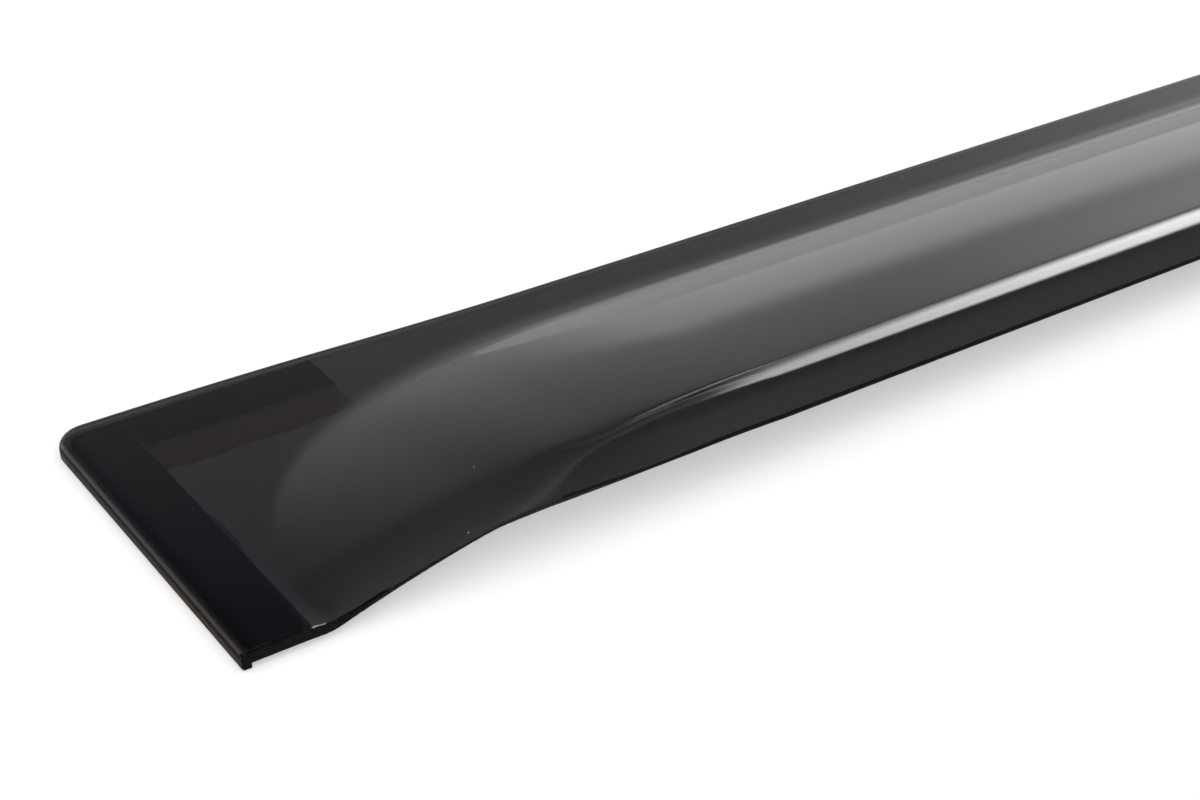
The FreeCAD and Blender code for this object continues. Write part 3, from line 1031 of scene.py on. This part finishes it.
@dataclass(frozen=True)
class Table:
    """The white table that the strip lies on. It ends a little in front of the strip. Sizes are in metres."""

    white: str = "#e2e2e2"
    # The mirrored colour is a painted shade, which the table shows only in reflections just beyond the
    # strip's ends.
    mirrored: str = "#848484"
    strip_end: float = 0.45
    painted_shade_reach: float = 0.65
    lift: float = 0.38
    # Painted light: how much more the table glows where it is seen through the strip.
    painted_light_below: float = 0.06
    rough: float = 0.6
    left: float = -1.5
    right: float = 3.5
    front: float = -0.095
    back: float = 3.5

    def material(self) -> Material:
        """Return the card's material: evenly pale and matt to the camera, so that only the strip's shadow
        shows on it. In reflections it is painted darker just beyond the strip's ends, and where it is seen
        through the strip it glows a little as painted light.
        """
        material, nodes, place = new_material("white_table_card")
        path = nodes.add("ShaderNodeLightPath").outputs

        # Painted shade: just beyond the strip's ends, and only in reflections, the table is painted darker,
        # which leaves the end rims dark.
        along = nodes.add("ShaderNodeSeparateXYZ", {0: place}).outputs["X"]
        past_end = nodes.math("GREATER_THAN", nodes.math("ABSOLUTE", along), self.strip_end)
        distance = nodes.add("ShaderNodeVectorMath", {0: place}, operation="LENGTH").outputs["Value"]
        near = nodes.math("LESS_THAN", distance, self.painted_shade_reach)
        painted_shade_share = nodes.math("MULTIPLY", path["Is Glossy Ray"], nodes.math("MULTIPLY", past_end, near))
        shade = nodes.mix(painted_shade_share, linear(self.white), linear(self.mirrored))
        card = nodes.add("ShaderNodeBsdfDiffuse", {"Color": shade, "Roughness": self.rough})

        # Light off the table is stronger than its shade alone. Where the table is seen through the strip it
        # also glows a little: painted light standing for light that reaches under the strip.
        open_lift = nodes.math("MULTIPLY", path["Is Camera Ray"], self.lift)
        lift = nodes.math("MULTIPLY_ADD", path["Is Transmission Ray"], self.painted_light_below, open_lift)
        glow = nodes.add("ShaderNodeEmission", {"Strength": lift})
        seen = nodes.add("ShaderNodeAddShader", {0: card.outputs[0], 1: glow.outputs[0]})
        nodes.add("ShaderNodeOutputMaterial", {"Surface": seen.outputs[0]})
        return material

    def build(self) -> Object:
        """Make the table top."""
        bm = bmesh.new()
        bmesh.ops.create_grid(bm, x_segments=1, y_segments=1, size=1.0)
        for vertex in bm.verts:
            vertex.co.x = self.left if vertex.co.x < 0 else self.right
            vertex.co.y = self.front if vertex.co.y < 0 else self.back
        top = new_object(bm, "table_top", [self.material()])
        return top


class Ramp(NamedTuple):
    """A change of light across the room, from first to last.

    It goes by azimuth from +X, by elevation, by distance from +X to either side, or by slant, which is
    elevation plus half the azimuth. All are in degrees.
    """

    by: str
    start: float
    end: float
    first: float
    last: float

    def span(self) -> Span:
        """The ramp in radians."""
        return Span(math.radians(self.start), math.radians(self.end), self.first, self.last)


LIGHTS: dict[str, tuple[Ramp, ...]] = {
    "walls": (
        Ramp("elevation", 8, 50, 0.48, 0.25),
        Ramp("elevation", 22, 42, 1, 0.25),
        Ramp("elevation", 38, 48, 1, 0.3),
        Ramp("azimuth", -42, -15, 0.42, 1),
    ),
    "white board": (
        Ramp("elevation", 6.5, 12, 1, 0),
        Ramp("azimuth", 55, 67, 0.48, 0),
        Ramp("azimuth", -40, -15, 0, 1),
    ),
    "glow of the right wall": (
        Ramp("azimuth", 38, 53, 0.6, 0),
        Ramp("azimuth", -40, -15, 0, 1),
        Ramp("elevation", 17, 27, 1, 0.1),
        Ramp("elevation", 6, 18, 0.3, 1),
    ),
    "bank of light": (
        Ramp("azimuth", -31, -17, 0, 13.5),
        Ramp("azimuth", 6, 52, 1, 0),
        Ramp("slant", 56, 80, 1, 0.02),
        Ramp("elevation", 43, 58, 1, 0.6),
        Ramp("elevation", 58, 65, 1, 0.05),
        Ramp("elevation", 23, 42, 0, 1),
    ),
    "bright frame at the bank's left": (
        Ramp("azimuth", 45, 48.5, 0, 2.2),
        Ramp("azimuth", 48.5, 52, 1, 0),
        Ramp("elevation", 52, 60, 1, 0),
        Ramp("elevation", 30, 40, 0, 1),
    ),
    "lit wall behind the left end": (
        Ramp("side", 100, 115, 0, 0.45),
        Ramp("elevation", 20, 40, 1, 0),
    ),
    "weaker bank on the other side": (
        Ramp("side", 140, 160, 0, 5),
        Ramp("elevation", 50, 66, 1, 0),
        Ramp("elevation", 24, 40, 0, 1),
    ),
}


@dataclass(frozen=True)
class Studio:
    """The room that the gloss mirrors.

    A white board stands low behind the strip, the walls darken with height, and a bank of light hangs over
    its right side, with a weaker one opposite and a lit wall behind the left end. Each light is the product
    of its ramps. The upper room behind the strip is a little blue.
    """

    white: str = "#ffffff"
    backdrop: float = 1.0
    plain: float = 1.0
    slant: float = 0.5
    blue: str = "#2020ff"
    blue_light: Ramp = Ramp("elevation", 27, 34, 0, 0.034)
    blue_side: float = 0.0

    def room(self, nodes: Nodes, places: dict[str, Socket]) -> Socket:
        """Add up the lights.

        Args:
            nodes: The world's nodes.
            places: What a ramp can go by, by its name.

        Returns:
            How bright the room is where a ray goes.
        """
        lights = []
        for ramps in LIGHTS.values():
            steps = [
                nodes.span(places[ramp.by], ramp.span(), interpolation_type="SMOOTHSTEP") for ramp in ramps
            ]
            lights.append(reduce(partial(nodes.math, "MULTIPLY"), steps))
        return reduce(partial(nodes.math, "ADD"), lights)

    def build(self) -> None:
        """Make the world that lights the strip."""
        world = bpy.data.worlds.new("studio")
        bpy.context.scene.world = world
        world.use_nodes = True
        # Each ray finds the room by its own direction, so every kind of ray sees what is meant for it.
        world.cycles.sampling_method = "NONE"
        world.node_tree.nodes.clear()
        nodes = Nodes(world.node_tree)
        towards = nodes.add("ShaderNodeTexCoord").outputs["Generated"]
        split = nodes.add("ShaderNodeSeparateXYZ", {0: towards}).outputs
        azimuth = nodes.math("ARCTAN2", split["Y"], split["X"])
        elevation = nodes.math("ARCSINE", split["Z"])
        places = {
            "azimuth": azimuth,
            "side": nodes.math("ABSOLUTE", azimuth),
            "elevation": elevation,
            "slant": nodes.math("MULTIPLY_ADD", azimuth, self.slant, elevation),
        }
        path = nodes.add("ShaderNodeLightPath").outputs

        # Dull surfaces are lit plainly and evenly, so that a colour renders about as it is written.
        shown = nodes.add(
            "ShaderNodeMix",
            {0: path["Is Diffuse Ray"], "A": self.room(nodes, places), "B": self.plain},
            data_type="FLOAT",
        )
        lit = nodes.add("ShaderNodeBackground", {"Color": linear(self.white), "Strength": shown.outputs[0]})

        # High up behind the strip the room is a little blue, which shows where the sheet lies on black tape.
        upper = nodes.span(places[self.blue_light.by], self.blue_light.span())
        behind = nodes.math("GREATER_THAN", azimuth, self.blue_side)
        mirrored = nodes.math("MULTIPLY", path["Is Glossy Ray"], nodes.math("MULTIPLY", upper, behind))
        tinted = nodes.add("ShaderNodeBackground", {"Color": linear(self.blue), "Strength": mirrored})
        room = nodes.add("ShaderNodeAddShader", {0: lit.outputs[0], 1: tinted.outputs[0]})

        # The camera sees a plain white backdrop, also through the strip.
        seen = nodes.math("MAXIMUM", path["Is Camera Ray"], path["Is Transmission Ray"])
        white = nodes.add("ShaderNodeBackground", {"Color": linear(self.white), "Strength": self.backdrop})
        both = nodes.add("ShaderNodeMixShader", {0: seen, 1: room.outputs[0], 2: white.outputs[0]})
        nodes.add("ShaderNodeOutputWorld", {"Surface": both.outputs[0]})


@dataclass(frozen=True)
class Camera:
    """The photograph's viewpoint, in metres and degrees."""

    place: tuple[float, float, float] = (-0.557823, -0.305585, 0.222938)
    pitch: float = 58.67
    heading: float = -34.48
    lens: float = 63.0
    sensor: float = 36.0
    nearest: float = 0.01

    def build(self) -> Object:
        """Make the camera and set it as the scene's own."""
        data = bpy.data.cameras.new("camera")
        data.lens = self.lens
        data.sensor_width = self.sensor
        data.clip_start = self.nearest
        camera = bpy.data.objects.new("camera", data)
        camera.location = self.place
        camera.rotation_euler = Euler((math.radians(self.pitch), 0.0, math.radians(self.heading)))
        bpy.context.scene.collection.objects.link(camera)
        bpy.context.scene.camera = camera
        return camera


def report(piece: Object) -> None:
    """Log one finished piece."""
    log.info("%s: %d faces", piece.name, len(piece.data.polygons))


def main() -> None:
    """Build the strip, the stage, the light and the camera."""
    Camera().build()
    report(FormedSheet().build())
    foam = FoamTape().material()
    film = LinerFilm().material()
    for end in End:
        for piece in TapedEnd(end, foam=foam, film=film).build():
            report(piece)
    Table().build()
    Studio().build()
    bpy.context.scene.view_settings.view_transform = "Standard"


if __name__ == "__main__":
    main()
